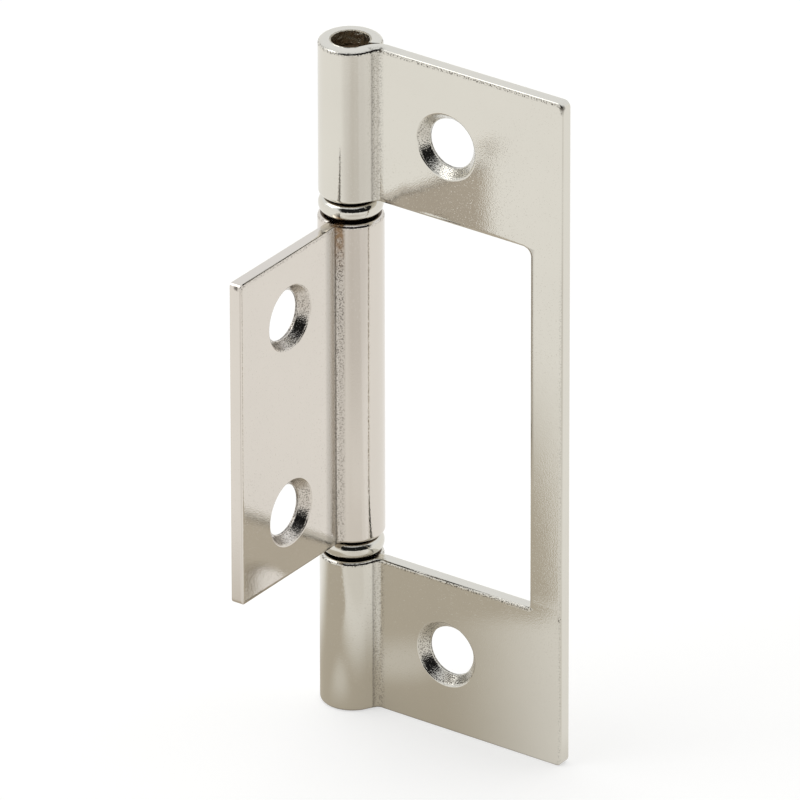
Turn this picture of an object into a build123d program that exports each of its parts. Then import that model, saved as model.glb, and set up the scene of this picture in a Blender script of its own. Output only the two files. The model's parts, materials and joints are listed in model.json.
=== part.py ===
from build123d import *
from math import acos, atan2, cos, degrees, hypot, radians, sin, tan
import os

# Nesting folding door hinge, opened to a right angle. Millimetres, +Z up along the pin.
# Origin: middle of the outer leaf's two screw holes, on the face that lies on the door frame.
# The outer leaf reaches along X with its countersunk face towards -Y.
# The inner leaf stands out along -Y with its countersunk face towards +X.

# Sheet, pin and rolled knuckles
sheet = 1.4  # thickness of both leaves
pin_diameter = 4.0
grip = 0.01  # radial squeeze of the outer knuckles on the pin
running_clearance = 0.08  # radial room of the inner knuckle and the rings on the pin
outer_offset = 1.1  # pin axis to the outer leaf's mounting face
inner_offset = 0.6  # pin axis to the inner leaf's mounting face
neck_angle = 62.0  # turn of the sheet from the leaf into the roll
neck_radius = 0.6  # inside radius of that turn
seam_gap = 0.1  # least gap between the roll's cut end and the back of the neck
seam_lean = 7.5  # lean of the cut end, as an angle about the pin

# Outer leaf
leaf_height = 76.2
outer_reach = 26.7  # pin axis to free edge
outer_strip = 4.0  # upright strip left between the window and the free edge
arm_height = 17.4  # each arm, and the knuckle rolled from it
window_margin = 1.0  # extra length of the window cut past the roll and both faces
window_top_radius = 1.0
window_bottom_radius = 0.35
outer_corner_radius = 0.75
outer_hole_reach = 12.15  # pin axis to the screw holes
outer_hole_inset = 8.8  # leaf end to the nearer screw hole

# Inner leaf
ring_space = 2.3  # height between an outer knuckle and the inner knuckle
inner_reach = 20.6
inner_corner_radius = 0.5
inner_hole_reach = 11.9
inner_hole_inset = 7.2

# Screw holes, the same in both leaves
hole_diameter = 5.5
countersink_diameter = 7.3
countersink_angle = 82.0

# Edges left by the press: rolled over on the countersunk side, sharper on the mounting side
rolled_edge = 0.25
sheared_edge = 0.1

# Pin ends and bearing rings
pin_recess = 1.5  # pin end below the end of the barrel
pin_end_radius = 0.5
ring_diameter = 6.8
ring_end_clearance = 0.2  # between a ring and the knuckle on either side
ring_edge_radius = 0.9
ring_bore_chamfer = 0.2

same_place = 0.001  # an edge this near a skin lies on it

# Worked out from the values above
pin_radius = pin_diameter / 2
outer_bore = pin_radius - grip
inner_bore = pin_radius + running_clearance
pin_x = -outer_hole_reach
pin_y = -outer_offset
outer_hole_spacing = leaf_height - 2 * outer_hole_inset
inner_height = leaf_height - 2 * (arm_height + ring_space)
inner_hole_spacing = inner_height - 2 * inner_hole_inset
window_height = leaf_height - 2 * arm_height
ring_radius = ring_diameter / 2
ring_height = ring_space - 2 * ring_end_clearance
ring_middle = (inner_height + ring_space) / 2
roll_side = pin_x - outer_bore - sheet - window_margin
window_side = pin_x + outer_reach - outer_strip


def polar(radius, angle):
    """Point at a radius and an angle in degrees about the pin axis."""
    return (radius * cos(radians(angle)), radius * sin(radians(angle)))


def leaf_skins(bore, reach, offset):
    """The sheet's two skins in section, about the pin axis: X to the free edge, Y to the countersunk face.

    The offset is the distance from the pin axis to the mounting face.

    The sheet leaves the leaf through the neck, follows the roll round the pin the long way and stops
    with its cut end against the back of the neck. Both skins run from the free edge to that end.
    """
    roll = bore + sheet
    front = sheet - offset
    start = 90 - neck_angle  # where the straight part of the neck touches the roll
    outer_touch = polar(roll, start)
    inner_touch = polar(bore, start)
    run = (outer_touch[1] - front) / sin(radians(neck_angle))
    setback = neck_radius * tan(radians(neck_angle / 2))
    bend = (outer_touch[0] + run * cos(radians(neck_angle)) + setback, front + neck_radius)
    back_radius = neck_radius + sheet

    def turn(radius, angle):
        """Point of the bend, the angle counted from the leaf's side."""
        return (bend[0] - radius * sin(radians(angle)), bend[1] - radius * cos(radians(angle)))

    # the cut end starts where the roll comes within the seam gap of the bend's back
    gap_radius = back_radius + seam_gap
    distance = hypot(*bend)
    spread = acos((roll**2 + distance**2 - gap_radius**2) / (2 * roll * distance))
    wrap = 360 - start + degrees(atan2(bend[1], bend[0]) - spread)

    with BuildLine() as countersunk_skin:
        Line((reach, front), turn(neck_radius, 0))
        ThreePointArc(turn(neck_radius, 0), turn(neck_radius, neck_angle / 2), turn(neck_radius, neck_angle))
        Line(turn(neck_radius, neck_angle), outer_touch)
        CenterArc((0, 0), roll, start, wrap)
    with BuildLine() as mounting_skin:
        Line((reach, -offset), turn(back_radius, 0))
        ThreePointArc(turn(back_radius, 0), turn(back_radius, neck_angle / 2), turn(back_radius, neck_angle))
        Line(turn(back_radius, neck_angle), inner_touch)
        CenterArc((0, 0), bore, start, wrap + seam_lean)
    return countersunk_skin.line, mounting_skin.line


def leaf_section(bore, reach, offset):
    """Face between the two skins, closed at the free edge and at the roll's cut end."""
    skins = leaf_skins(bore, reach, offset)
    with BuildSketch() as section:
        with BuildLine():
            add(skins)
            Line(skins[0] @ 0, skins[1] @ 0)
            Line(skins[0] @ 1, skins[1] @ 1)
        make_face()
    return section.sketch


def edges_on(skin, leaf, plane, bore):
    """Edges of a leaf that lie on one of its skins, apart from the upright lines of its neck and roll."""
    roll_end = 2 * (bore + sheet)

    def belongs(edge):
        points = [plane.to_local_coords(edge @ share) for share in (0, 0.25, 0.5, 0.75, 1)]
        on_skin = all(skin.distance_to(Vector(point.X, point.Y, 0)) < same_place for point in points)
        beside_roll = min(point.X for point in points) < roll_end
        upright = abs(points[0].Z - points[-1].Z) > same_place
        return on_skin and not (beside_roll and upright)

    return leaf.edges().filter_by(belongs)


# Outer leaf: one sheet with a window between two arms, each rolled into a knuckle
outer_plane = Plane(origin=(pin_x, pin_y, leaf_height / 2), x_dir=(1, 0, 0), z_dir=(0, 0, -1))
outer_skins = leaf_skins(outer_bore, outer_reach, outer_offset)
outer_face = Plane(origin=(0, -sheet, 0), x_dir=(1, 0, 0), z_dir=(0, -1, 0))
with BuildPart() as outer_leaf:
    with BuildSketch(outer_plane):
        add(leaf_section(outer_bore, outer_reach, outer_offset))
    extrude(amount=leaf_height)
    corners = outer_leaf.edges().filter_by(Axis.Y).group_by(Axis.X)[-1]
    fillet(corners, radius=outer_corner_radius)
    with BuildSketch(Plane.XZ) as window:
        with Locations(((roll_side + window_side) / 2, 0)):
            Rectangle(window_side - roll_side, window_height)
        right_corners = window.vertices().group_by(Axis.X)[-1].sort_by(Axis.Y)
        fillet(right_corners[-1], radius=window_top_radius)
        fillet(right_corners[0], radius=window_bottom_radius)
    extrude(amount=outer_reach, both=True, mode=Mode.SUBTRACT)
    fillet(edges_on(outer_skins[0], outer_leaf, outer_plane, outer_bore), radius=rolled_edge)
    fillet(edges_on(outer_skins[1], outer_leaf, outer_plane, outer_bore), radius=sheared_edge)
    with Locations(outer_face):
        with GridLocations(0, outer_hole_spacing, 1, 2):
            CounterSinkHole(hole_diameter / 2, countersink_diameter / 2, sheet, countersink_angle)
outer_leaf.part.label = "outer_leaf"

# Inner leaf: a smaller sheet that nests in the window, rolled into the long middle knuckle
inner_plane = Plane(origin=(pin_x, pin_y, -inner_height / 2), x_dir=(0, -1, 0), z_dir=(0, 0, 1))
inner_skins = leaf_skins(inner_bore, inner_reach, inner_offset)
inner_front = pin_x + sheet - inner_offset
inner_face = Plane(origin=(inner_front, pin_y - inner_hole_reach, 0), x_dir=(0, 1, 0), z_dir=(1, 0, 0))
with BuildPart() as inner_leaf:
    with BuildSketch(inner_plane):
        add(leaf_section(inner_bore, inner_reach, inner_offset))
    extrude(amount=inner_height)
    corners = inner_leaf.edges().filter_by(Axis.X).group_by(Axis.Y)[0]
    fillet(corners, radius=inner_corner_radius)
    fillet(edges_on(inner_skins[0], inner_leaf, inner_plane, inner_bore), radius=rolled_edge)
    fillet(edges_on(inner_skins[1], inner_leaf, inner_plane, inner_bore), radius=sheared_edge)
    with Locations(inner_face):
        with GridLocations(0, inner_hole_spacing, 1, 2):
            CounterSinkHole(hole_diameter / 2, countersink_diameter / 2, sheet, countersink_angle)
inner_leaf.part.label = "inner_leaf"

# Pin: a plain rod with rounded ends, sunk below both ends of the barrel
pin_length = leaf_height - 2 * pin_recess
with BuildPart() as hinge_pin:
    with BuildSketch(Plane(origin=(pin_x, pin_y, -pin_length / 2))):
        Circle(pin_radius)
    extrude(amount=pin_length)
    fillet(hinge_pin.edges().filter_by(GeomType.CIRCLE), radius=pin_end_radius)
hinge_pin.part.label = "hinge_pin"

# Bearing rings between the knuckles, turned almost fully round on the outside
ring_plane = Plane(origin=(pin_x, pin_y, ring_middle), x_dir=(1, 0, 0), z_dir=(0, -1, 0))
with BuildPart() as upper_ring:
    with BuildSketch(ring_plane) as ring_section:
        with Locations(((ring_radius + inner_bore) / 2, 0)):
            Rectangle(ring_radius - inner_bore, ring_height)
        fillet(ring_section.vertices().group_by(Axis.X)[-1], radius=ring_edge_radius)
        chamfer(ring_section.vertices().group_by(Axis.X)[0], length=ring_bore_chamfer)
    revolve(axis=Axis((pin_x, pin_y, 0), (0, 0, 1)))
upper_ring.part.label = "upper_ring"

with BuildPart() as lower_ring:
    add(mirror(upper_ring.part, about=Plane.XY))
lower_ring.part.label = "lower_ring"

os.makedirs("parts", exist_ok=True)
for piece in (outer_leaf, inner_leaf, hinge_pin, upper_ring, lower_ring):
    export_step(piece.part, f"parts/{piece.part.label}.step")
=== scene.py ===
"""Folding door hinge: the dressed model of two nesting leaves, their pin and its bearing rings."""

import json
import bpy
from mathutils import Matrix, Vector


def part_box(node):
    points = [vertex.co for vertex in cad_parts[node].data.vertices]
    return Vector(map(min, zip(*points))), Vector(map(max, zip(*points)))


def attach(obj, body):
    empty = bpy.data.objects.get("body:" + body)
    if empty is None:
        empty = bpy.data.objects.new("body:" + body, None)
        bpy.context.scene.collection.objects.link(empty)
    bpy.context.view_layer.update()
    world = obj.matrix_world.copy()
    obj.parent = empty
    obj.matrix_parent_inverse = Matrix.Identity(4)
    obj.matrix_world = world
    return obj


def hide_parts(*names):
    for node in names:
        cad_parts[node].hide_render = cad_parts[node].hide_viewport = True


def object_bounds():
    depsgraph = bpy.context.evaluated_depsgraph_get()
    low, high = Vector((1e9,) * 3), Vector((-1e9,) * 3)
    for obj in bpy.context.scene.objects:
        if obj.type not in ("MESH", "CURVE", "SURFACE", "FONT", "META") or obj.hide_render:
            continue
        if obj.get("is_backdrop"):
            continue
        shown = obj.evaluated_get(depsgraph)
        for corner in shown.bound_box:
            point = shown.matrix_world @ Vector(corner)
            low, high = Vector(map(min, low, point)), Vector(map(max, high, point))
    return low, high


bl_info = {
    "name": "Folding Door Hinge",
    "version": (1, 0, 0),
    "blender": (4, 5, 0),
    "location": "View3D > Sidebar > Hinge",
    "description": "Bright nickel plate, pressed edges and a plain studio for a folding door hinge",
    "category": "Object",
}

import bmesh
import bpy
import numpy as np
from mathutils import Matrix, Vector

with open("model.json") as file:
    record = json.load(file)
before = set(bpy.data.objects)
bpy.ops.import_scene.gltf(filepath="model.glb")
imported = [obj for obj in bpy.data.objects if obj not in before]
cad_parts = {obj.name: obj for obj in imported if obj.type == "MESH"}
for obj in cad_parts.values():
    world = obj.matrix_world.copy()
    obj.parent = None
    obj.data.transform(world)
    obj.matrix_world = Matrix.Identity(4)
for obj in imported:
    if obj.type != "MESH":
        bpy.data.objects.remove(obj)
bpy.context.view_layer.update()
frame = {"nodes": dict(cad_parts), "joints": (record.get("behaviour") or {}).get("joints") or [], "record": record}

MM = 0.001
PIN = np.array(frame["joints"][0]["pos_m"])
MOUNTS = {mount["name"]: mount for mount in frame["record"]["mounts"]}
# A hole's polar patch fills a square of the grid: half its side, and the lines over the whole side
PATCH = 5.0 * MM
PATCH_LINES = 25


def hex_colour(text):
    """Linear colour, with alpha, from an sRGB hex value."""
    srgb = np.array([int(text[i : i + 2], 16) for i in (1, 3, 5)]) / 255
    linear = np.where(srgb <= 0.04045, srgb / 12.92, ((srgb + 0.055) / 1.055) ** 2.4)
    return (*(float(x) for x in linear), 1.0)


def length(name, description, millimetres):
    """A length property with its default in millimetres."""
    return bpy.props.FloatProperty(
        name=name, description=description, default=millimetres * MM, unit="LENGTH"
    )


def angle(name, description, degrees):
    """An angle property with its default in degrees."""
    return bpy.props.FloatProperty(
        name=name, description=description, default=np.radians(degrees), subtype="ANGLE"
    )


def colour(name, description, text):
    """A colour property with its default as an sRGB hex value."""
    return bpy.props.FloatVectorProperty(
        name=name, description=description, default=hex_colour(text), size=4, min=0, max=1, subtype="COLOR"
    )


class HingeSizes(bpy.types.PropertyGroup):
    """Sizes of the pressed sheet that the frame doesn't give."""

    sheet: length("Sheet", "Thickness of both leaves", 1.4)
    outer_front: length("Outer Front", "Countersunk face of the outer leaf, from the pin axis", 0.3)
    inner_front: length("Inner Front", "Countersunk face of the inner leaf, from the pin axis", 0.8)
    neck_angle: angle("Neck Angle", "Turn of the sheet from leaf to roll", 62)
    neck_radius: length("Neck Radius", "Inside radius of that turn", 0.6)
    seam_gap: length("Seam Gap", "Room between the roll's cut end and the neck", 0.1)
    seam_lean: angle("Seam Lean", "Lean of the roll's cut end", 7.5)
    outer_bore: length("Outer Bore", "Bore radius of the outer knuckles", 1.99)
    inner_bore: length("Inner Bore", "Bore radius of the middle knuckle", 2.08)
    arm: length("Arm", "Height of each arm of the outer leaf", 17.4)
    strip: length("Strip", "Width of the upright strip beside the window", 4.0)
    outer_corner: length("Outer Corner", "Corner radius of the outer leaf", 0.75)
    inner_corner: length("Inner Corner", "Corner radius of the inner leaf", 0.5)
    window_top: length("Window Top", "Radius of the window's upper corner", 1.0)
    window_bottom: length("Window Bottom", "Radius of the window's lower corner", 0.35)
    countersink: length("Countersink", "Radius of the countersinks at the face", 3.65)
    countersink_angle: angle("Countersink Angle", "Angle of the cone", 82)
    leaf_rim_width: length("Leaf Rim Width", "How far the die rolled a leaf's edge over", 0.45)
    leaf_rim_depth: length("Leaf Rim Depth", "How deep the rolled edge of a leaf drops", 0.13)
    knuckle_rim_width: length("Knuckle Rim Width", "Rounding of a knuckle's rim along the barrel", 0.45)
    knuckle_rim_depth: length("Knuckle Rim Depth", "Rounding of a knuckle's rim into the wall", 0.42)
    back_rim: length("Back Rim", "Rounding of the edges on the mounting side", 0.1)
    ring_round: length("Ring Round", "Rounding of the bearing rings on the outside", 0.9)
    ring_bevel: length("Ring Bevel", "Chamfer at the ends of the rings' bore", 0.2)


class HingeColours(bpy.types.PropertyGroup):
    """Colours of the finishes and of the studio."""

    nickel: colour("Nickel", "Bright nickel plate in a white room", "#DBD7CC")
    inner_nickel: colour("Inner Nickel", "The inner leaf's plate, a shade pinker", "#DBD4CA")
    tarnish: colour("Tarnish", "Brown film in the creases", "#8A6A45")
    bore: colour("Bore", "Thin dull plate inside the barrel", "#A39A86")
    # also the colour of the painted shade beside the inner neck, along the window's edge and in some dark spots
    dirt: colour("Dirt", "Dark specks and worn plate", "#3A3228")
    pin: colour("Pin", "Dull steel of the pin's end", "#75695C")
    # painted shade: the gaps at the rings darken towards this colour, which stands for old oil and the shade in
    # them
    grime: colour("Grime", "Black grease in the gaps at the rings", "#594D3F")
    floor: colour("Floor", "Pale studio floor", "#F2F2F0")
    floor_shade: colour("Floor Shade", "Mirrored floor in the hinge's own light", "#C6BFB3")
    # painted shade: a faint shadow of the camera on the mirrored floor
    floor_camera_shade: colour("Floor Grey", "Faint tint of the mirrored floor to the front right", "#613F00")


# Surfaces


class Blank:
    """A leaf's blank and how it is bent.

    across runs from the free edge over the flat, the neck and the roll to the cut end, along is the height,
    deep is below the countersunk face. Lengths across are taken in the middle of the sheet.
    """

    def __init__(self, size, bore, front, reach, out, face):
        self.sheet, self.front, self.reach = size.sheet, front, reach
        self.out, self.face = np.array(out), np.array(face)
        self.neck_angle, self.neck_radius, self.lean = size.neck_angle, size.neck_radius, size.seam_lean
        self.roll = bore + size.sheet
        # the neck's straight touches the roll at the start angle and runs down to the face's plane
        self.start = np.pi / 2 - size.neck_angle
        touch = self.roll * np.array([np.cos(self.start), np.sin(self.start)])
        run = (touch[1] - self.front) / np.sin(self.neck_angle)
        setback = self.neck_radius * np.tan(self.neck_angle / 2)
        self.straight = run - setback
        self.bend = touch[0] + run * np.cos(self.neck_angle) + setback
        # the roll stops a seam gap short of the neck's back
        centre_height = self.front + self.neck_radius
        distance = np.hypot(self.bend, centre_height)
        near = self.neck_radius + self.sheet + size.seam_gap
        spread = np.arccos((self.roll**2 + distance**2 - near**2) / (2 * self.roll * distance))
        self.wrap = 2 * np.pi - self.start + np.arctan2(centre_height, self.bend) - spread
        # where each part of the blank ends, across
        self.flat_end = reach - self.bend
        self.neck_end = self.flat_end + (self.neck_radius + self.sheet / 2) * self.neck_angle
        self.straight_end = self.neck_end + self.straight
        self.cut_end = self.straight_end + (self.roll - self.sheet / 2) * self.wrap

    def bent(self, blank):
        """Points in the frame: the flat, the neck's arc, its straight and the roll's arc in a row."""
        across, along, deep = np.moveaxis(blank, -1, 0)
        arc = np.clip((across - self.flat_end) / (self.neck_radius + self.sheet / 2), 0, self.neck_angle)
        radius = self.neck_radius + deep
        run = np.clip(across - self.neck_end, 0, self.straight)
        x = self.bend - radius * np.sin(arc) - run * np.cos(self.neck_angle)
        y = self.front + self.neck_radius - radius * np.cos(arc) + run * np.sin(self.neck_angle)
        x = np.where(across < self.flat_end, self.reach - across, x)
        part = np.clip((across - self.straight_end) / (self.cut_end - self.straight_end), 0, 1)
        turn = self.start + part * (self.wrap + self.lean * deep / self.sheet)
        rolled = across > self.straight_end
        x = np.where(rolled, (self.roll - deep) * np.cos(turn), x)
        y = np.where(rolled, (self.roll - deep) * np.sin(turn), y)
        flat = PIN[:2] + x[..., None] * self.out + y[..., None] * self.face
        return np.concatenate([flat, along[..., None]], -1)


def smooth_step(low, high, value):
    """Smooth rise from 0 at low to 1 at high, or a fall where low is the higher one."""
    part = np.clip((value - low) / (high - low), 0, 1)
    return part * part * (3 - 2 * part)


def evenly(low, high, step):
    """Positions from low to high, at most a step apart."""
    return np.linspace(low, high, max(2, int(np.ceil((high - low) / step)) + 1))


def over_patch(middle):
    """Lines over the square that a hole's patch fills."""
    return np.linspace(middle - PATCH, middle + PATCH, PATCH_LINES)


def near_edge(width):
    """Distances from an edge, closer together towards it, where the rolled-over metal curves most.

    They are the versines of even angles up to the width, and two more beyond it.
    """
    return width * np.append(1 - np.cos(np.linspace(0, np.pi / 2, 9)), [1.15, 1.6])


def box_distance(across, along, half_width, half_height, radius):
    """Distance outside a rounded rectangle about the origin, negative inside."""
    x = np.abs(across) - half_width + radius
    y = np.abs(along) - half_height + radius
    return np.hypot(np.maximum(x, 0), np.maximum(y, 0)) + np.minimum(np.maximum(x, y), 0) - radius


def round_outward(across, along, corner, radius):
    """Moves the grid near an outward corner onto an arc: its square is mapped to a quarter disc."""
    u = np.clip(1 - across / radius, 0, 1)
    v = np.clip(1 - (corner - np.abs(along)) / radius, 0, 1)
    inside = (u > 0) & (v > 0)
    new_across = np.where(inside, radius * (1 - u * np.sqrt(1 - v**2 / 2)), across)
    new_along = np.where(inside, np.sign(along) * (corner - radius * (1 - v * np.sqrt(1 - u**2 / 2))), along)
    return new_across, new_along


def round_inward(across, along, side, corner, radius):
    """Moves the grid round a window's corner onto its arc, and fades the move out within two radii.

    The shape runs from -1 to 1 along the corner's two legs, and the turn over the quarter circle.
    """
    p = across - side
    q = np.abs(along) - corner
    shape = np.where(p > 0, np.clip(p / radius, 0, 1), -np.clip(-q / radius, 0, 1))
    shape = np.where((p <= 0) & (q >= 0), 0, shape)
    turn = np.radians(135) - np.radians(45) * shape
    move_p = radius * (1 + np.cos(turn)) - radius * np.maximum(shape, 0)
    move_q = radius * (np.sin(turn) - 1) - radius * np.minimum(shape, 0)
    gap = np.where((p > 0) & (q < 0), 0, np.hypot(np.maximum(-p, 0), np.maximum(q, 0)))
    fade = np.clip(1 - gap / (2 * radius), 0, 1) ** 2
    return across + fade * move_p, along + np.sign(along) * fade * move_q


def rolled_over(distance, width, depth):
    """Depth of the face below its plane near an edge: a quarter of an ellipse."""
    part = np.clip(1 - distance / width, 0, 1)
    return depth * (1 - np.sqrt(np.maximum(1 - part**2, 0)))


def sheet_surface(size, blank, across_lines, along_lines, edge_distance, shaped, holes):
    """Points of a blank, the faces over them, how much each point is on a cone and how far from an edge.

    The blank is a grid of lines. Both faces of the sheet are the grid's cells inside the outline, the cut
    edge is a wall between them, and each hole is a polar patch from a square of the grid to the circle.
    """
    across, along = np.meshgrid(across_lines, along_lines, indexing="ij")
    middle_across = (across_lines[:-1] + across_lines[1:]) / 2
    middle_along = (along_lines[:-1] + along_lines[1:]) / 2
    outside = edge_distance(*np.meshgrid(middle_across, middle_along, indexing="ij"), 0) < 0
    in_hole = np.zeros_like(outside)
    patches = []
    for centre in holes:
        i0, i1 = (int(np.abs(across_lines - x).argmin()) for x in (centre[0] - PATCH, centre[0] + PATCH))
        j0, j1 = (int(np.abs(along_lines - x).argmin()) for x in (centre[1] - PATCH, centre[1] + PATCH))
        in_hole[i0:i1, j0:j1] = True
        patches.append((centre, i0, i1, j0, j1))
    kept = ~outside & ~in_hole

    across, along = shaped(across, along)
    distance = np.maximum(edge_distance(across, along, 1), 0)
    # the rims of the knuckles are rounded more than the edges of the flat
    knuckle = smooth_step(blank.flat_end - 0.3 * MM, blank.straight_end, across)
    width = size.leaf_rim_width + knuckle * (size.knuckle_rim_width - size.leaf_rim_width)
    depth = size.leaf_rim_depth + knuckle * (size.knuckle_rim_depth - size.leaf_rim_depth)
    front = rolled_over(distance, width, depth)
    back = size.sheet - rolled_over(distance, size.back_rim, size.back_rim)
    levels = np.linspace(0, 1, 7)[:, None, None]
    deep = front + (back - front) * levels
    points = np.stack([np.broadcast_to(across, deep.shape), np.broadcast_to(along, deep.shape), deep], -1)
    count = across.size
    index = np.arange(count).reshape(across.shape)
    last = (len(levels) - 1) * count

    cells = np.stack([index[:-1, :-1], index[1:, :-1], index[1:, 1:], index[:-1, 1:]], -1)[kept]
    faces = [cells, cells + last]
    # the cut edge runs between a cell of the sheet and one outside the outline
    beyond = np.pad(outside, 1, constant_values=True)
    solid = np.pad(kept, 1)
    rows = (solid[1:-1, :-1] & beyond[1:-1, 1:]) | (solid[1:-1, 1:] & beyond[1:-1, :-1])
    columns = (solid[:-1, 1:-1] & beyond[1:, 1:-1]) | (solid[1:, 1:-1] & beyond[:-1, 1:-1])
    edges = np.concatenate(
        [
            np.stack([index[:-1, :], index[1:, :]], -1)[rows],
            np.stack([index[:, :-1], index[:, 1:]], -1)[columns],
        ]
    )
    for level in range(len(levels) - 1):
        low, high = edges + level * count, edges + (level + 1) * count
        faces.append(np.stack([low[:, 0], low[:, 1], high[:, 1], high[:, 0]], -1))

    sheet_points = points.reshape(-1, 3)
    found = [sheet_points]
    cones = [np.zeros(len(sheet_points))]
    edge_near = [np.broadcast_to(distance, deep.shape).ravel()]
    offset = len(sheet_points)
    for centre, i0, i1, j0, j1 in patches:
        ring = np.concatenate([index[i0:i1, j0], index[i1, j0:j1], index[i1:i0:-1, j1], index[i0, j1:j0:-1]])
        hole_points, cone = hole_surface(size, centre, sheet_points[ring], sheet_points[ring + last])
        grid = offset + np.arange(cone.size).reshape(cone.shape)
        following = np.roll(grid, -1, 1)
        faces.append(np.stack([grid[:-1], following[:-1], following[1:], grid[1:]], -1).reshape(-1, 4))
        found.append(hole_points.reshape(-1, 3))
        cones.append(cone.ravel())
        edge_near.append(np.full(cone.size, size.sheet))
        offset += cone.size
    return tuple(np.concatenate(part) for part in (found, faces, cones, edge_near))


def hole_surface(size, centre, square_front, square_back):
    """A countersunk hole carried round its centre, and where on it the cone is.

    The profile crosses the face towards the hole, rounds into the cone, goes down the cone and the short
    straight wall, and returns across the back. Its first and last rows are the square that it fits in.
    """
    half = size.countersink_angle / 2
    radius = MOUNTS["outer_leaf_screws"]["dims"]["hole_r_mm"] * MM
    cone_deep = (size.countersink - radius) / np.tan(half)
    lip_half, lip_drop = 0.084 * MM, 0.12 * MM  # rounding of the lip, to either side and down
    burr = 0.03 * MM  # ledge that the drill left at the cone's foot
    turn = np.linspace(0, 1, 5)
    lip_radius = size.countersink + lip_half * (1 - 2 * turn)
    lip_deep = lip_drop * turn**1.7
    cone_part = np.linspace(0.12, 0.93, 9)
    profile_radius = np.concatenate(
        [
            lip_radius,
            size.countersink + (radius - size.countersink) * cone_part,
            [radius - burr, radius, radius],
            [radius, radius + 0.3 * size.back_rim, radius + size.back_rim],
        ]
    )
    back = size.sheet
    profile_deep = np.concatenate(
        [
            lip_deep,
            cone_deep * cone_part,
            [cone_deep + burr, cone_deep + 3 * burr, back - size.back_rim],
            [back - 0.6 * size.back_rim, back - 0.1 * size.back_rim, back],
        ]
    )
    # 1 on the cone and 2 on the straight wall, with the lip and the burr between
    on_cone = np.concatenate([np.zeros(3), [0.6, 1.0], np.ones(9), [0.3, 2.0, 2.0], [0.6, 0, 0]])
    direction = square_front[:, :2] - centre
    direction /= np.linalg.norm(direction, axis=1)[:, None]
    first = centre + profile_radius[0] * direction
    last = centre + profile_radius[-1] * direction
    # rows from the square to the circle, closer together towards the circle
    shares = np.array([1, 0.6, 0.3, 0.12, 0.04])
    rows = []
    for share in shares:
        flat = first + share * (square_front[:, :2] - first)
        rows.append(np.column_stack([flat, share * square_front[:, 2]]))
    for row_radius, row_deep in zip(profile_radius, profile_deep):
        rows.append(np.column_stack([centre + row_radius * direction, np.full(len(direction), row_deep)]))
    for share in shares[::-1]:
        flat = last + share * (square_back[:, :2] - last)
        rows.append(np.column_stack([flat, back + share * (square_back[:, 2] - back)]))
    cone = np.pad(on_cone, len(shares))
    return np.array(rows), np.repeat(cone[:, None], len(direction), 1)


def turned(profile, steps, centre):
    """A closed profile of radius and height, turned about a vertical axis.

    Rows of points go round, columns go along the profile.
    """
    around = np.linspace(0, 2 * np.pi, steps, endpoint=False)[:, None]
    radius, height = profile[:, 0], profile[:, 1]
    points = np.stack(
        [
            centre[0] + radius * np.cos(around),
            centre[1] + radius * np.sin(around),
            np.broadcast_to(height, (steps, len(height))),
        ],
        -1,
    )
    index = np.arange(steps * len(profile)).reshape(steps, -1)
    beside = np.roll(index, -1, 0)
    above, beside_above = np.roll(index, -1, 1), np.roll(beside, -1, 1)
    faces = np.stack([index, beside, beside_above, above], -1).reshape(-1, 4)
    return points.reshape(-1, 3), faces


# Pieces


def add_piece(name, points, faces, body, node, attributes, material):
    """A smooth closed mesh in nickel plate that rides on a body and stands for a CAD node."""
    used, faces = np.unique(faces, return_inverse=True)
    faces = faces.reshape(-1, 4)
    mesh = bpy.data.meshes.new(name)
    mesh.from_pydata(points[used].tolist(), [], faces.tolist())
    for label, values in attributes.items():
        layer = mesh.attributes.new(label, "FLOAT", "POINT")
        layer.data.foreach_set("value", values[used].astype(np.float32))
    shell = bmesh.new()
    shell.from_mesh(mesh)
    bmesh.ops.remove_doubles(shell, verts=shell.verts, dist=0.0005 * MM)
    bmesh.ops.dissolve_degenerate(shell, edges=shell.edges, dist=0.0001 * MM)
    bmesh.ops.recalc_face_normals(shell, faces=shell.faces)
    shell.to_mesh(mesh)
    shell.free()
    mesh.polygons.foreach_set("use_smooth", np.ones(len(mesh.polygons), bool))
    mesh.materials.append(material)
    piece = bpy.data.objects.new(name, mesh)
    bpy.context.scene.collection.objects.link(piece)
    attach(piece, body)
    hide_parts(node)


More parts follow.
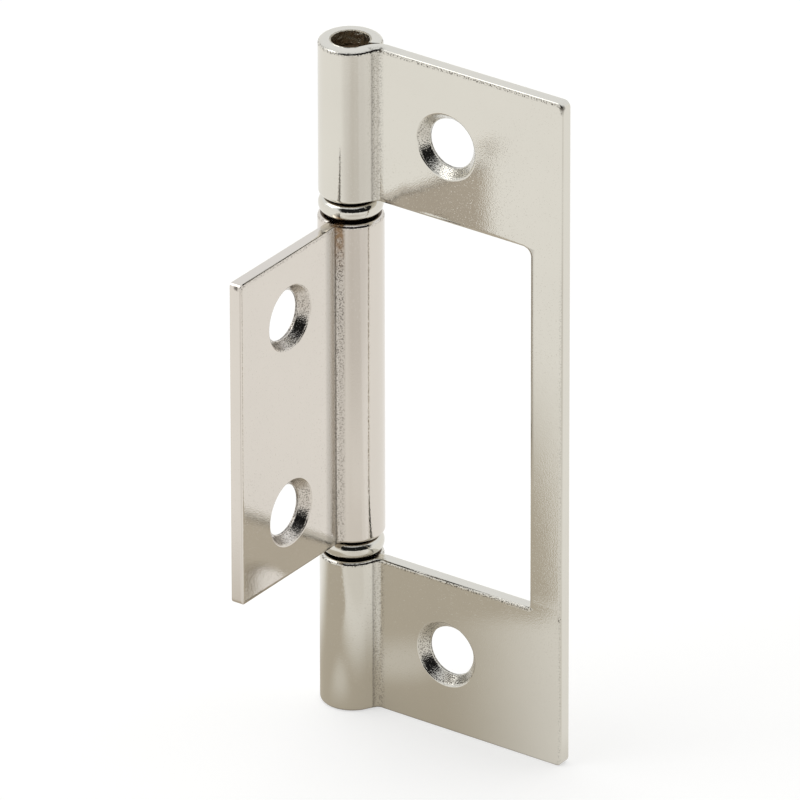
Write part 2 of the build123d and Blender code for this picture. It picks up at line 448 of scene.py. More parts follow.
def leaf_attributes(blank, points, cones, edges, burred, dirt_and_shade_spots, inner):
    """What the finish needs to know of each point.

    crease: in the neck, where the tool marked the sheet; line: at the neck's end, where the sheet turns
    into the roll; haze: painted shade on the inner leaf's flat beside its neck; rim: on the shoulder that
    the die rolled over, as far as that edge is burred; stain: at the upper end of the inner neck; grease: old
    oil and painted shade on the knuckle ends beside the rings; knot: dark spots, some real marks and some
    painted shade, each given by its place on the blank and its radius; cone: in a countersink; land: on the short
    wall under it; bore: inside the roll.
    """
    across, along, deep = points.T
    # the marks stop half way through the sheet
    shown = 1 - smooth_step(0.5 * MM, 0.9 * MM, deep)
    crease = smooth_step(blank.flat_end - 0.45 * MM, blank.flat_end, across)
    crease *= 1 - smooth_step(blank.neck_end + 0.1 * MM, blank.neck_end + 0.5 * MM, across)
    # the inner neck is the dirtier one, most of all at its top
    strength = 0.55 + 0.45 * smooth_step(-5 * MM, 14 * MM, along) if inner else 0.42
    turn = blank.flat_end if inner else blank.neck_end + 0.32 * MM
    line = 1 - smooth_step(0.03 * MM, 0.2 * MM, np.abs(across - turn))
    # painted shade beside the inner neck: a darker band on the flat, standing in for the neck's dark reflection
    beside = smooth_step(blank.flat_end - 2.0 * MM, blank.flat_end - 1.2 * MM, across)
    beside *= 1 - smooth_step(blank.flat_end, blank.flat_end + 0.3 * MM, across)
    rim = smooth_step(0.05 * MM, 0.15 * MM, edges) * (1 - smooth_step(0.3 * MM, 0.5 * MM, edges))
    stain = crease * smooth_step(12 * MM, 18 * MM, along)
    # old oil and painted shade on the knuckle ends beside the rings, where the gaps lie in shade
    rolled = smooth_step(blank.neck_end, blank.straight_end, across)
    ends = rolled * (edges < 0.2 * MM) * (deep > 0.28 * MM) * (np.abs(along) < 22 * MM)
    # dark spots, some real marks and some painted shade in corners
    knot = np.zeros(len(points))
    for centre, radius in dirt_and_shade_spots:
        distance = np.linalg.norm(points - centre, axis=1)
        knot = np.maximum(knot, smooth_step(radius, 0.5 * radius, distance))
    return {
        "crease": crease * shown * strength,
        "line": line * shown,
        "haze": beside * shown * inner,
        "rim": rim * (deep < 0.5 * MM) * burred,
        "stain": stain * shown * inner,
        "grease": ends.astype(float),
        "knot": knot,
        "cone": np.minimum(cones, 1),
        "land": np.maximum(cones - 1, 0),
        "bore": smooth_step(blank.straight_end, blank.straight_end + 0.5 * MM, across) * (deep > 1.2 * MM),
    }


def blank_lines(size, blank, hole):
    """Grid lines across a blank: close at the free edge, in the neck and at the cut end, even elsewhere."""
    edge = near_edge(size.leaf_rim_width)
    return [
        edge,
        evenly(edge[-1], hole - PATCH, 0.6 * MM),
        over_patch(hole),
        evenly(hole + PATCH, blank.flat_end, 0.4 * MM),
        np.linspace(blank.flat_end, blank.neck_end, 15),
        np.linspace(blank.neck_end, blank.straight_end, 7),
        evenly(blank.straight_end, blank.cut_end - 0.5 * MM, 0.13 * MM),
        blank.cut_end - near_edge(size.back_rim),
    ]


def merged(stretches):
    """One rising list of lines from several stretches, without repeats."""
    found = np.sort(np.concatenate(stretches))
    same = 0.004 * MM
    return found[np.append(True, np.diff(found) > same)]


class HINGE_OT_outer_leaf(bpy.types.Operator):
    """Build the outer leaf: a sheet with a window between two arms, each rolled into a knuckle"""

    bl_idname = "hinge.outer_leaf"
    bl_label = "Outer Leaf"

    def execute(self, context):
        size = context.scene.hinge_sizes
        high = np.array(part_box("outer_leaf")[1])
        reach = high[0] - PIN[0]
        blank = Blank(size, size.outer_bore, size.outer_front, reach, (1, 0), (0, -1))
        top = high[2]
        window = top - size.arm
        mount = MOUNTS["outer_leaf_screws"]
        hole_across = high[0] - mount["pos_m"][0]
        hole_along = mount["dims"]["spacing_y_mm"] / 2 * MM
        edge = near_edge(size.leaf_rim_width)
        across = merged([*blank_lines(size, blank, hole_across), size.strip - edge, size.strip + edge[:1]])
        arm = merged(
            [
                window + edge,
                evenly(window + edge[-1], hole_along - PATCH, 0.7 * MM),
                over_patch(hole_along),
                evenly(hole_along + PATCH, top - edge[-1], 0.7 * MM),
                top - edge,
            ]
        )
        beside_window = window - near_edge(size.window_top)[1:]
        upright = evenly(-window + 2 * MM, window - 2 * MM, 1.0 * MM)
        along = merged([-arm, -beside_window, upright, beside_window, arm])

        def edge_distance(x, y, rounded):
            radius = rounded * size.outer_corner
            board = -box_distance(x - blank.cut_end, y, blank.cut_end, top, radius)
            corner = rounded * np.where(y > 0, size.window_top, size.window_bottom)
            opening = box_distance(x - size.strip - blank.cut_end, y, blank.cut_end, window, corner)
            return np.minimum(np.minimum(board, opening), blank.cut_end - x)

        def shaped(x, y):
            x, y = round_outward(x, y, top, size.outer_corner)
            upper = round_inward(x, y, size.strip, window, size.window_top)
            lower = round_inward(x, y, size.strip, window, size.window_bottom)
            return np.where(y > 0, upper[0], lower[0]), np.where(y > 0, upper[1], lower[1])

        holes = [np.array([hole_across, side * hole_along]) for side in (-1, 1)]
        points, faces, cones, edges = sheet_surface(
            size, blank, across, along, edge_distance, shaped, holes
        )
        x, y, _ = points.T
        upper_edge = smooth_step(top - 1.0 * MM, top - 0.6 * MM, y)
        window_foot = smooth_step(0.8 * MM, 0.5 * MM, np.abs(y + window)) * (y < -window + 0.01 * MM)
        free_edge = 0.2 * smooth_step(0.8 * MM, 0.5 * MM, x) * smooth_step(22 * MM, 14 * MM, y)
        burred = np.maximum.reduce([upper_edge, window_foot, free_edge])
        # dark spots at the free upper corner, and painted shade in the concave corner where the neck meets the top
        dirt_and_shade_spots = [
            ((0.15 * MM, top - 0.45 * MM, 0.1 * MM), 0.4 * MM),
            ((blank.flat_end + 0.25 * MM, top - 0.15 * MM, 0.15 * MM), 0.4 * MM),
        ]
        attributes = leaf_attributes(blank, points, cones, edges, burred, dirt_and_shade_spots, False)
        # painted shade: a darker band along the window's upright edge in its upper half
        window_side = smooth_step(0.55 * MM, 0.2 * MM, np.abs(x - size.strip))
        attributes["haze"] = 0.9 * window_side * smooth_step(-8 * MM, 0, y) * (y < window)
        colours = context.scene.hinge_colours
        material = nickel_plate("bright_nickel_plate", colours.nickel, colours)
        leaf = blank.bent(points)
        add_piece("outer_leaf_dressed", leaf, faces, "frame_side", "outer_leaf", attributes, material)
        return {"FINISHED"}


class HINGE_OT_inner_leaf(bpy.types.Operator):
    """Build the inner leaf: a smaller sheet rolled into the long middle knuckle"""

    bl_idname = "hinge.inner_leaf"
    bl_label = "Inner Leaf"

    def execute(self, context):
        size = context.scene.hinge_sizes
        low, high = (np.array(corner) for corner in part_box("inner_leaf"))
        reach = PIN[1] - low[1]
        blank = Blank(size, size.inner_bore, size.inner_front, reach, (0, -1), (1, 0))
        top = high[2]
        mount = MOUNTS["inner_leaf_screws"]
        hole_across = mount["pos_m"][1] - low[1]
        hole_along = mount["dims"]["spacing_y_mm"] / 2 * MM
        edge = near_edge(size.leaf_rim_width)
        across = merged(blank_lines(size, blank, hole_across))
        side = merged(
            [
                evenly(0, hole_along - PATCH, 1.0 * MM),
                over_patch(hole_along),
                evenly(hole_along + PATCH, top - edge[-1], 0.6 * MM),
                top - edge,
            ]
        )
        along = merged([-side, side])

        def edge_distance(x, y, rounded):
            board = -box_distance(x - blank.cut_end, y, blank.cut_end, top, rounded * size.inner_corner)
            return np.minimum(board, blank.cut_end - x)

        def shaped(x, y):
            return round_outward(x, y, top, size.inner_corner)

        holes = [np.array([hole_across, sign * hole_along]) for sign in (-1, 1)]
        points, faces, cones, edges = sheet_surface(
            size, blank, across, along, edge_distance, shaped, holes
        )
        burred = 0.6 * smooth_step(top - 1.0 * MM, top - 0.6 * MM, points[:, 1])
        # painted shade on the free upper corner's dark facet, and a dark mark on the upper knuckle end beside the
        # neck
        dirt_and_shade_spots = [
            ((0, top - 0.4 * MM, 0.55 * MM), 0.3 * MM),
            ((blank.neck_end, top, 0.3 * MM), 0.5 * MM),
        ]
        attributes = leaf_attributes(blank, points, cones, edges, burred, dirt_and_shade_spots, True)
        colours = context.scene.hinge_colours
        material = nickel_plate("pinkish_nickel_plate", colours.inner_nickel, colours)
        leaf = blank.bent(points)
        add_piece("inner_leaf_dressed", leaf, faces, "door_side", "inner_leaf", attributes, material)
        return {"FINISHED"}


class HINGE_OT_rings(bpy.types.Operator):
    """Build the two bearing rings between the knuckles, each a profile turned about the pin"""

    bl_idname = "hinge.rings"
    bl_label = "Bearing Rings"

    def execute(self, context):
        size = context.scene.hinge_sizes
        colours = context.scene.hinge_colours
        material = nickel_plate("bright_nickel_plate", colours.nickel, colours)
        for node in ("upper_ring", "lower_ring"):
            low, high = (np.array(corner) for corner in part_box(node))
            outer = (high[0] - low[0]) / 2
            soft = size.ring_round
            turn = np.linspace(0, np.pi / 2, 17)
            inward, drop = soft * (1 - np.cos(turn)), soft * (1 - np.sin(turn))
            top_turn = np.column_stack([outer - inward, high[2] - drop])
            bottom_turn = np.column_stack([outer - inward, low[2] + drop])
            bevel, inner = size.ring_bevel, size.inner_bore
            bored = [
                [inner + bevel, high[2]],
                [inner, high[2] - bevel],
                [inner, low[2] + bevel],
                [inner + bevel, low[2]],
            ]
            profile = np.concatenate([bottom_turn[::-1], top_turn, bored])
            points, faces = turned(profile, 160, PIN)
            add_piece(node + "_dressed", points, faces, "frame_side", node, {}, material)
        return {"FINISHED"}


class HINGE_OT_pin(bpy.types.Operator):
    """Give the pin its dull steel finish"""

    bl_idname = "hinge.pin"
    bl_label = "Pin"

    def execute(self, context):
        pin = frame["nodes"]["hinge_pin"]
        material = pin_steel(context.scene.hinge_colours)
        if pin.data.materials:
            for slot in pin.material_slots:
                slot.material = material
        else:
            pin.data.materials.append(material)
        return {"FINISHED"}


# Finishes


def add_node(tree, kind, inputs=(), **settings):
    """A node with its settings.

    Each input is set to a value, or linked to a socket or to a node's first output.
    """
    node = tree.nodes.new(kind)
    for name, value in settings.items():
        setattr(node, name, value)
    for key, value in dict(inputs).items():
        if isinstance(value, bpy.types.Node):
            value = next(socket for socket in value.outputs if socket.enabled)
        if isinstance(value, bpy.types.NodeSocket):
            tree.links.new(value, node.inputs[key])
        else:
            node.inputs[key].default_value = value
    return node


def new_material(name):
    """The material of a name and its empty node tree, or no tree where the material is there already."""
    material = bpy.data.materials.get(name)
    if material:
        return material, None
    material = bpy.data.materials.new(name)
    material.use_nodes = True
    material.node_tree.nodes.clear()
    return material, material.node_tree


def nickel_plate(name, nickel, colours):
    """Bright nickel, barrel plated over pressed steel.

    A warm mirror with a fine orange peel, which breaks the edges of what it reflects into grains. The plate
    is grainy in the drilled cones, pitted and dark in the necks, specked along the rolled-over rims, thin and
    dull in the bores, and the upper arm leans a little as the press left it.
    """
    material, tree = new_material(name)
    if tree is None:
        return material
    place = add_node(tree, "ShaderNodeTexCoord").outputs["Object"]
    marks = {
        mark: add_node(tree, "ShaderNodeAttribute", attribute_name=mark).outputs["Fac"]
        for mark in ("crease", "line", "haze", "rim", "stain", "grease", "knot", "cone", "land", "bore")
    }
    # each pattern's grain in millimetres, its detail and its roughness
    grains = {
        "wave": (2.5, 1.0, 0.4),
        "peel": (0.13, 1.0, 0.5),
        "cloud": (6.0, 3.0, 0.55),
        "pits": (0.17, 2.0, 0.7),
        "grit": (0.13, 1.0, 0.6),
        "lumps": (0.7, 3.0, 0.6),
    }
    noise = {
        pattern: add_node(
            tree,
            "ShaderNodeTexNoise",
            {"Vector": place, "Scale": 1 / (grain * MM), "Detail": detail, "Roughness": roughness},
        ).outputs["Fac"]
        for pattern, (grain, detail, roughness) in grains.items()
    }

    # the tools scraped the necks, and the rims less
    scraped = add_node(tree, "ShaderNodeMath", {0: marks["rim"], 1: 0.4}, operation="MULTIPLY")
    scraped = add_node(tree, "ShaderNodeMath", {0: marks["crease"], 1: scraped}, operation="MAXIMUM")
    coarse = add_node(
        tree, "ShaderNodeMath", {0: marks["cone"], 1: 0.4, 2: scraped}, operation="MULTIPLY_ADD"
    )
    polished, worn, bore_more = 0.05, 0.22, 0.25
    rough = add_node(
        tree,
        "ShaderNodeMapRange",
        {0: coarse, 1: 0.0, 2: 1.0, 3: polished, 4: worn},
        interpolation_type="SMOOTHSTEP",
    )
    rough = add_node(
        tree, "ShaderNodeMath", {0: marks["bore"], 1: bore_more, 2: rough}, operation="MULTIPLY_ADD"
    )
    shader = add_node(
        tree,
        "ShaderNodeBsdfPrincipled",
        {
            "Base Color": plate_colour(tree, marks, noise, nickel, colours),
            "Metallic": 1.0,
            "Roughness": rough,
            "Normal": plate_normal(tree, place, marks, noise, scraped),
        },
    )
    add_node(tree, "ShaderNodeOutputMaterial", {"Surface": shader})
    return material


def plate_colour(tree, marks, noise, nickel, colours):
    """Colour of the plate: a little cloudy, with each mark laid over it as far as a pattern lets it."""
    nickel = tuple(nickel)
    cloudy = (*(0.95 * x for x in nickel[:3]), 1.0)
    plate = add_node(
        tree, "ShaderNodeMix", {"Factor": noise["cloud"], "A": nickel, "B": cloudy}, data_type="RGBA"
    )
    # how strongly each mark shows at two levels of a pattern, and the colour that it brings
    for mark, pattern, low, high, at_low, at_high, brought in (
        # the first row is painted shade; the knot and grease rows are partly painted shade
        ("haze", "pits", 0.0, 0.1, 0.0, 0.3, "dirt"),
        ("cone", "grit", 0.38, 0.48, 0.6, 0.0, "dirt"),
        ("land", "grit", 0.35, 0.6, 0.95, 0.4, "dirt"),
        ("crease", "pits", 0.36, 0.52, 0.9, 0.1, "dirt"),
        ("line", "pits", 0.2, 0.6, 0.8, 0.35, "dirt"),
        ("rim", "pits", 0.4, 0.5, 0.95, 0.0, "dirt"),
        ("knot", "pits", 0.35, 0.6, 1.0, 0.7, "dirt"),
        ("stain", "lumps", 0.35, 0.6, 0.35, 0.85, "tarnish"),
        ("bore", "lumps", 0.35, 0.6, 1.0, 0.6, "bore"),
        ("grease", "lumps", 0.0, 1.0, 1.0, 1.0, "grime"),
    ):
        level = add_node(
            tree,
            "ShaderNodeMapRange",
            {0: noise[pattern], 1: low, 2: high, 3: at_low, 4: at_high},
            interpolation_type="SMOOTHSTEP",
        )
        share = add_node(tree, "ShaderNodeMath", {0: marks[mark], 1: level}, operation="MULTIPLY")
        over = tuple(getattr(colours, brought))
        plate = add_node(tree, "ShaderNodeMix", {"Factor": share, "A": plate, "B": over}, data_type="RGBA")

    # painted shade with some old oil: the colour darkens where ambient occlusion finds the gaps between the
    # knuckles and the rings, but less in the open bores
    nearby = add_node(
        tree, "ShaderNodeAmbientOcclusion", {"Distance": 0.9 * MM}, samples=8, only_local=False
    ).outputs["AO"]
    open_air = add_node(
        tree, "ShaderNodeMath", {0: marks["bore"], 1: 0.8, 2: nearby}, operation="MULTIPLY_ADD"
    )
    unshaded = add_node(
        tree, "ShaderNodeMapRange", {0: open_air, 1: 0.08, 2: 0.55}, interpolation_type="SMOOTHSTEP"
    )
    grime = tuple(colours.grime)
    return add_node(tree, "ShaderNodeMix", {"Factor": unshaded, "A": grime, "B": plate}, data_type="RGBA")


def plate_normal(tree, place, marks, noise, scraped):
    """Normal of the plate: the leaning arm first, then a bump for each pattern that stands out of it."""
    pitted = add_node(tree, "ShaderNodeMath", {0: noise["pits"], 1: scraped}, operation="MULTIPLY")
    gritty = add_node(tree, "ShaderNodeMath", {0: noise["grit"], 1: marks["cone"]}, operation="MULTIPLY")
    lumpy = add_node(tree, "ShaderNodeMath", {0: noise["lumps"], 1: marks["bore"]}, operation="MULTIPLY")
    # single grains, which break up the edge of a reflection
    sparse = add_node(
        tree, "ShaderNodeMapRange", {0: noise["pits"], 1: 0.62, 2: 0.75}, interpolation_type="SMOOTHSTEP"
    )
    lean = leaning_arm(tree, place)
    normal = add_node(tree, "ShaderNodeBump", {"Height": lean, "Strength": 1.0, "Distance": 1.0 * MM})
    # the height that each pattern stands out, in millimetres
    for height, depth in (
        (noise["wave"], 0.004),
        (noise["peel"], 0.005),
        (sparse, 0.006),
        (pitted, 0.05),
        (gritty, 0.025),
        (lumpy, 0.35),
    ):
        bump = {"Height": height, "Strength": 1.0, "Distance": depth * MM, "Normal": normal}
        normal = add_node(tree, "ShaderNodeBump", bump)
    return normal


def leaning_arm(tree, place):
    """Height, in millimetres, of the outer leaf's upper arm over its plane, where the press left it leaning.

    It rises by a twentieth from the neck to the strip and falls by a twentieth towards the top, and both fade
    out below the arm.
    """
    scaled = add_node(tree, "ShaderNodeVectorMath", {0: place, "Scale": 1 / MM}, operation="SCALE")
    parts = add_node(tree, "ShaderNodeSeparateXYZ", {0: scaled}).outputs
    east, up = parts["X"], parts["Z"]
    # each run counts millimetres from a line on the arm, between two limits that it eases into
    runs = []
    for along, line, low, low_ease, high, high_ease in (
        (east, -4.9, 0.0, 2.0, 13.9, 1.5),
        (up, 25.0, -7.0, 2.0, 5.0, 2.0),
    ):
        run = add_node(tree, "ShaderNodeMath", {0: along, 1: line}, operation="SUBTRACT")
        run = add_node(tree, "ShaderNodeMath", {0: run, 1: low, 2: low_ease}, operation="SMOOTH_MAX")
        runs.append(add_node(tree, "ShaderNodeMath", {0: run, 1: high, 2: high_ease}, operation="SMOOTH_MIN"))
    rise, fall = runs
    # the fall fades out at the neck and towards the free edge
    for low, high, at_low, at_high in ((-9.5, -5.5, 0.0, 1.0), (7.0, 24.0, 1.0, 0.0)):
        fade = add_node(
            tree,
            "ShaderNodeMapRange",
            {0: east, 1: low, 2: high, 3: at_low, 4: at_high},
            interpolation_type="SMOOTHSTEP",
        )
        fall = add_node(tree, "ShaderNodeMath", {0: fall, 1: fade}, operation="MULTIPLY")
    rise_slope, fall_slope = 0.051, -0.047
    height = add_node(tree, "ShaderNodeMath", {0: rise, 1: rise_slope}, operation="MULTIPLY")
    height = add_node(
        tree, "ShaderNodeMath", {0: fall, 1: fall_slope, 2: height}, operation="MULTIPLY_ADD"
    )
    above = add_node(tree, "ShaderNodeMapRange", {0: up, 1: -20.0, 2: 20.0})
    return add_node(tree, "ShaderNodeMath", {0: height, 1: above}, operation="MULTIPLY")


def pin_steel(colours):
    """Drawn mild steel, sheared and left unplated inside the barrel: dull, brownish and rough."""
    material, tree = new_material("dull_drawn_steel")
    if tree is None:
        return material
    place = add_node(tree, "ShaderNodeTexCoord").outputs["Object"]
    grain = 0.3 * MM
    grit = add_node(
        tree, "ShaderNodeTexNoise", {"Vector": place, "Scale": 1 / grain, "Detail": 4.0, "Roughness": 0.7}
    )
    bump = add_node(tree, "ShaderNodeBump", {"Height": grit, "Strength": 1.0, "Distance": 0.06 * MM})
    brown, steel = tuple(colours.tarnish), tuple(colours.pin)
    tone = add_node(tree, "ShaderNodeMix", {"Factor": grit, "A": brown, "B": steel}, data_type="RGBA")
    # oxide and old oil make it a little less than metal
    shader = add_node(
        tree,
        "ShaderNodeBsdfPrincipled",
        {"Base Color": tone, "Metallic": 0.8, "Roughness": 0.45, "Normal": bump},
    )
    add_node(tree, "ShaderNodeOutputMaterial", {"Surface": shader})
    return material


# Studio


def floor_tone(tree, colours, floor_height):
    """Colour of the floor as the metal mirrors it: white, with painted shade, the hinge's shadow patch, a second
    patch and a faint patch towards the camera.

    Lengths are in millimetres. Each fade is a smooth step between two places.
    """
    place = add_node(tree, "ShaderNodeTexCoord").outputs["Object"]
    # distances from the foot of the outer leaf's free edge, out the way its face mirrors the view, and aside
    foot = (14.0 * MM, -1.4 * MM, 0)
    moved = add_node(tree, "ShaderNodeVectorMath", {0: place, 1: foot}, operation="SUBTRACT")
    out, aside = (
        add_node(tree, "ShaderNodeVectorMath", {0: moved, 1: (x / MM, y / MM, 0)}, operation="DOT_PRODUCT")
        for x, y in ((-0.581, -0.814), (0.814, -0.581))
    )

    # the shaded patch is deeper near the foot than further out, where the strip beside the window mirrors it
    near, further, blend = (
        add_node(
            tree,
            "ShaderNodeMapRange",
            {0: distance, 1: low, 2: high, 3: at_low, 4: at_high},
            interpolation_type="SMOOTHSTEP",
        )
        for distance, low, high, at_low, at_high in (
            (aside, -13.0, 2.0, 1.0, 0.2),
            (aside, -0.4, 0.4, 1.0, 0.25),
            (out, 31.0, 34.5, 0.0, 1.0),
        )
    )
    shade = add_node(tree, "ShaderNodeMix", {"Factor": blend, "A": near, "B": further})
    # a second patch lies to the right of it, where both leaves mirror each other
    second = 0.35
    for distance, low, high, main in (
        (out, 95.0, 47.0, True),
        (out, -9.0, -2.0, True),
        (aside, -50.0, -28.0, True),
        (out, 60.0, 35.0, False),
        (out, 0.0, 5.0, False),
        (aside, 2.0, 7.0, False),
        (aside, 45.0, 25.0, False),
    ):
        fade = add_node(
            tree, "ShaderNodeMapRange", {0: distance, 1: low, 2: high}, interpolation_type="SMOOTHSTEP"
        )
        if main:
            shade = add_node(tree, "ShaderNodeMath", {0: shade, 1: fade}, operation="MULTIPLY")
        else:
            second = add_node(tree, "ShaderNodeMath", {0: second, 1: fade}, operation="MULTIPLY")
    # light comes through under the inner leaf and leaves a paler spot in front of the lower knuckle
    middle = (-26.6 * MM, -10.0 * MM, floor_height)
    spot = add_node(tree, "ShaderNodeVectorMath", {0: moved, 1: middle}, operation="DISTANCE")
    paler = add_node(
        tree,
        "ShaderNodeMapRange",
        {0: spot, 1: 1.0 * MM, 2: 7.0 * MM, 3: 0.65, 4: 1.0},
        interpolation_type="SMOOTHSTEP",
    )
    shade = add_node(tree, "ShaderNodeMath", {0: shade, 1: paler}, operation="MULTIPLY")
    shade = add_node(tree, "ShaderNodeMath", {0: shade, 1: second}, operation="MAXIMUM")

    # painted shade: a faint darker patch, an ellipse to the front right of the hinge towards the camera, by its
    # centre, turn and radii
    ellipse = {
        "Vector": place,
        "Location": (83.5 * MM, -75.5 * MM, floor_height),
        "Rotation": (0, 0, -0.663),
        "Scale": (60 * MM, 125 * MM, 1),
    }
    inside = add_node(tree, "ShaderNodeMapping", ellipse, vector_type="TEXTURE")
    away = add_node(tree, "ShaderNodeVectorMath", {0: inside}, operation="LENGTH")
    camera_shade = add_node(
        tree,
        "ShaderNodeMapRange",
        {0: away, 1: 0.5, 2: 1.15, 3: 0.2, 4: 0.0},
        interpolation_type="SMOOTHSTEP",
    )
    tone = (1, 1, 1, 1)
    for share, over in ((shade, tuple(colours.floor_shade)), (camera_shade, tuple(colours.floor_camera_shade))):
        tone = add_node(tree, "ShaderNodeMix", {"Factor": share, "A": tone, "B": over}, data_type="RGBA")
    return tone


def studio_floor(colours, floor_height):
    """Matt paper sweep: lifted a little so that it reads as white and keeps its shadow.

    The metal sees painted shade on it: darker and warmer in front of the hinge, where the hinge stands in its own
    shadow, and a little darker to the front right, a painted shadow of the camera.
    """
    material, tree = new_material("studio_paper")
    if tree is None:
        return material
    white, black = (1, 1, 1, 1), (0, 0, 0, 1)
    toned = floor_tone(tree, colours, floor_height)
    rays = add_node(tree, "ShaderNodeLightPath").outputs
    glossy = rays["Is Glossy Ray"]
    # the paper itself is dim, in a mirror still more so, and what it glows makes up for that
    dim_paper = (*(0.55 * x for x in colours.floor[:3]), 1.0)
    dim_toned = add_node(tree, "ShaderNodeMix", {"Factor": 0.7, "A": toned, "B": black}, data_type="RGBA")
    paper = add_node(
        tree, "ShaderNodeMix", {"Factor": glossy, "A": dim_paper, "B": dim_toned}, data_type="RGBA"
    )
    diffuse = add_node(tree, "ShaderNodeBsdfDiffuse", {"Color": paper})
    glow = add_node(tree, "ShaderNodeMix", {"Factor": glossy, "A": white, "B": toned}, data_type="RGBA")
    direct = {0: rays["Is Camera Ray"], 1: rays["Is Transmission Ray"]}
    seen = add_node(tree, "ShaderNodeMath", direct, operation="MAXIMUM")
    seen_glow, mirrored_glow = 0.6, 0.74
    mirrored = add_node(tree, "ShaderNodeMath", {0: glossy, 1: mirrored_glow}, operation="MULTIPLY")
    lift = add_node(
        tree, "ShaderNodeMath", {0: seen, 1: seen_glow, 2: mirrored}, operation="MULTIPLY_ADD"
    )
    emission = add_node(tree, "ShaderNodeEmission", {"Color": glow, "Strength": lift})
    both = add_node(tree, "ShaderNodeAddShader", {0: diffuse, 1: emission})
    add_node(tree, "ShaderNodeOutputMaterial", {"Surface": both})
    return material


def studio_room():
    """World: an even pale room, cooler overhead.

    It is dark behind the camera and to its right, where the studio's lights don't reach, from just above the
    floor up to about 60 degrees.
    """
    world = bpy.data.worlds.new("studio_room")
    bpy.context.scene.world = world
    world.use_nodes = True
    tree = world.node_tree
    tree.nodes.clear()
    direction = add_node(tree, "ShaderNodeTexCoord").outputs["Generated"]
    ahead, beside, up = (
        add_node(tree, "ShaderNodeVectorMath", {0: direction, 1: way}, operation="DOT_PRODUCT")
        for way in ((0.77, -0.64, 0), (0.64, 0.77, 0), (0, 0, 1))
    )
    beside = add_node(tree, "ShaderNodeMath", {0: beside}, operation="ABSOLUTE")
    unlit = 0.985
    for part, low, high in ((ahead, 0.25, 0.42), (beside, 0.85, 0.68), (up, 0.02, 0.12), (up, 0.9, 0.78)):
        fade = add_node(
            tree, "ShaderNodeMapRange", {0: part, 1: low, 2: high}, interpolation_type="SMOOTHSTEP"
        )
        unlit = add_node(tree, "ShaderNodeMath", {0: unlit, 1: fade}, operation="MULTIPLY")
    rays = add_node(tree, "ShaderNodeLightPath").outputs
    lit = add_node(tree, "ShaderNodeMath", {0: 1.0, 1: unlit}, operation="SUBTRACT")
    level = add_node(tree, "ShaderNodeMath", {0: lit, 1: rays["Is Camera Ray"]}, operation="MAXIMUM")
    overhead = add_node(
        tree, "ShaderNodeMapRange", {0: up, 1: 0.1, 2: 0.5}, interpolation_type="SMOOTHSTEP"
    )
    cool = add_node(tree, "ShaderNodeMath", {0: overhead, 1: rays["Is Glossy Ray"]}, operation="MULTIPLY")
    pale, cooler = (1, 1, 1, 1), (0.96, 0.985, 1.03, 1)
    air = add_node(tree, "ShaderNodeMix", {"Factor": cool, "A": pale, "B": cooler}, data_type="RGBA")
    background = add_node(tree, "ShaderNodeBackground", {"Color": air, "Strength": level})
    add_node(tree, "ShaderNodeOutputWorld", {"Surface": background})


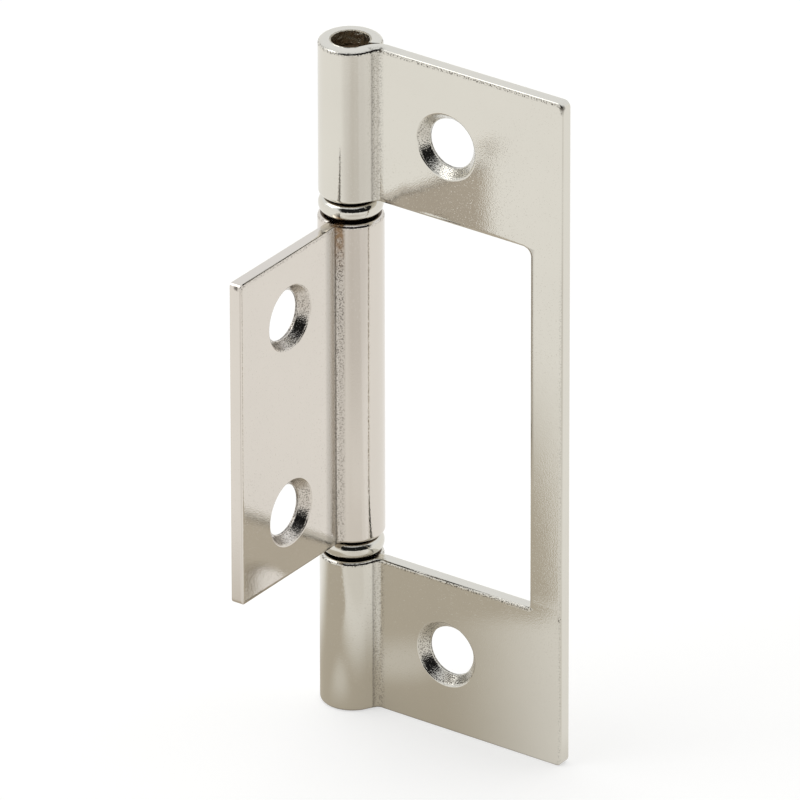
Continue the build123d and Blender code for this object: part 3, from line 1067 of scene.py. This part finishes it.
class HINGE_OT_stage(bpy.types.Operator):
    """Set up the pale floor, the soft light and the camera"""

    bl_idname = "hinge.stage"
    bl_label = "Stage"

    def execute(self, context):
        scene = context.scene
        floor_height = float(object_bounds()[0][2])
        half_side, lines = 3.0, 13
        across = np.linspace(-half_side, half_side, lines)
        x, y = np.meshgrid(across, across, indexing="ij")
        points = np.stack([x, y, np.full_like(x, floor_height)], -1).reshape(-1, 3)
        index = np.arange(x.size).reshape(x.shape)
        faces = np.stack([index[:-1, :-1], index[1:, :-1], index[1:, 1:], index[:-1, 1:]], -1).reshape(-1, 4)
        mesh = bpy.data.meshes.new("studio_floor")
        mesh.from_pydata(points.tolist(), [], faces.tolist())
        floor = bpy.data.objects.new("studio_floor", mesh)
        scene.collection.objects.link(floor)
        mesh.materials.append(studio_floor(scene.hinge_colours, floor_height))
        floor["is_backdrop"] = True
        studio_room()
        self.add_light("soft_box_left", place=(-0.35, -0.25, 0.45), side=0.35, power=0.6)
        self.add_camera(scene)
        scene.view_settings.view_transform = "Standard"
        return {"FINISHED"}

    def add_light(self, name, place, side, power):
        """A square soft light at a place, turned to the hinge."""
        lamp = bpy.data.lights.new(name, "AREA")
        lamp.shape = "SQUARE"
        lamp.size = side
        lamp.energy = power
        light = bpy.data.objects.new(name, lamp)
        light.location = place
        light.rotation_euler = (-Vector(place)).to_track_quat("-Z", "Y").to_euler()
        bpy.context.scene.collection.objects.link(light)

    def add_camera(self, scene):
        """A long lens, aimed beside the pin so that the hinge stands where it does in the picture."""
        azimuth, elevation, roll = np.radians(35.5), np.radians(26.85), np.radians(-0.1)
        distance = 1.8
        focal_pixels, picture, sensor = 17420, 800, 36.0
        pin_column, pin_row = 351.6, 370.7
        back = Vector(
            (np.sin(azimuth) * np.cos(elevation), -np.cos(azimuth) * np.cos(elevation), np.sin(elevation))
        )
        right = Vector((np.cos(azimuth), np.sin(azimuth), 0))
        above = back.cross(right)
        middle = Vector((PIN[0], PIN[1], 0))
        eye = middle + distance * back
        aside = (picture / 2 - pin_column) / focal_pixels * distance
        below = (picture / 2 - pin_row) / focal_pixels * distance
        aim = middle + aside * right - below * above
        data = bpy.data.cameras.new("camera")
        data.sensor_width = sensor
        data.lens = sensor * focal_pixels / picture
        data.clip_start, data.clip_end = 0.1, 20
        camera = bpy.data.objects.new("camera", data)
        camera.location = eye
        aimed = (aim - eye).to_track_quat("-Z", "Y").to_matrix() @ Matrix.Rotation(roll, 3, "Z")
        camera.rotation_euler = aimed.to_euler()
        scene.collection.objects.link(camera)
        scene.camera = camera


class HINGE_PT_panel(bpy.types.Panel):
    """Lists the hinge's operators, sizes and colours"""

    bl_label = "Folding Door Hinge"
    bl_idname = "HINGE_PT_panel"
    bl_space_type = "VIEW_3D"
    bl_region_type = "UI"
    bl_category = "Hinge"

    def draw(self, context):
        for operator in OPERATORS:
            self.layout.operator(operator.bl_idname)
        for group in (context.scene.hinge_sizes, context.scene.hinge_colours):
            for name in group.__annotations__:
                self.layout.prop(group, name)


OPERATORS = (HINGE_OT_outer_leaf, HINGE_OT_inner_leaf, HINGE_OT_rings, HINGE_OT_pin, HINGE_OT_stage)
CLASSES = (HingeSizes, HingeColours, *OPERATORS, HINGE_PT_panel)


def register():
    for item in CLASSES:
        bpy.utils.register_class(item)
    bpy.types.Scene.hinge_sizes = bpy.props.PointerProperty(type=HingeSizes)
    bpy.types.Scene.hinge_colours = bpy.props.PointerProperty(type=HingeColours)


def unregister():
    del bpy.types.Scene.hinge_colours
    del bpy.types.Scene.hinge_sizes
    for item in reversed(CLASSES):
        bpy.utils.unregister_class(item)


def main():
    """Registers the classes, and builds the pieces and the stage."""
    register()
    bpy.ops.hinge.outer_leaf()
    bpy.ops.hinge.inner_leaf()
    bpy.ops.hinge.rings()
    bpy.ops.hinge.pin()
    bpy.ops.hinge.stage()
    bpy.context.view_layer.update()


if __name__ == "__main__":
    main()
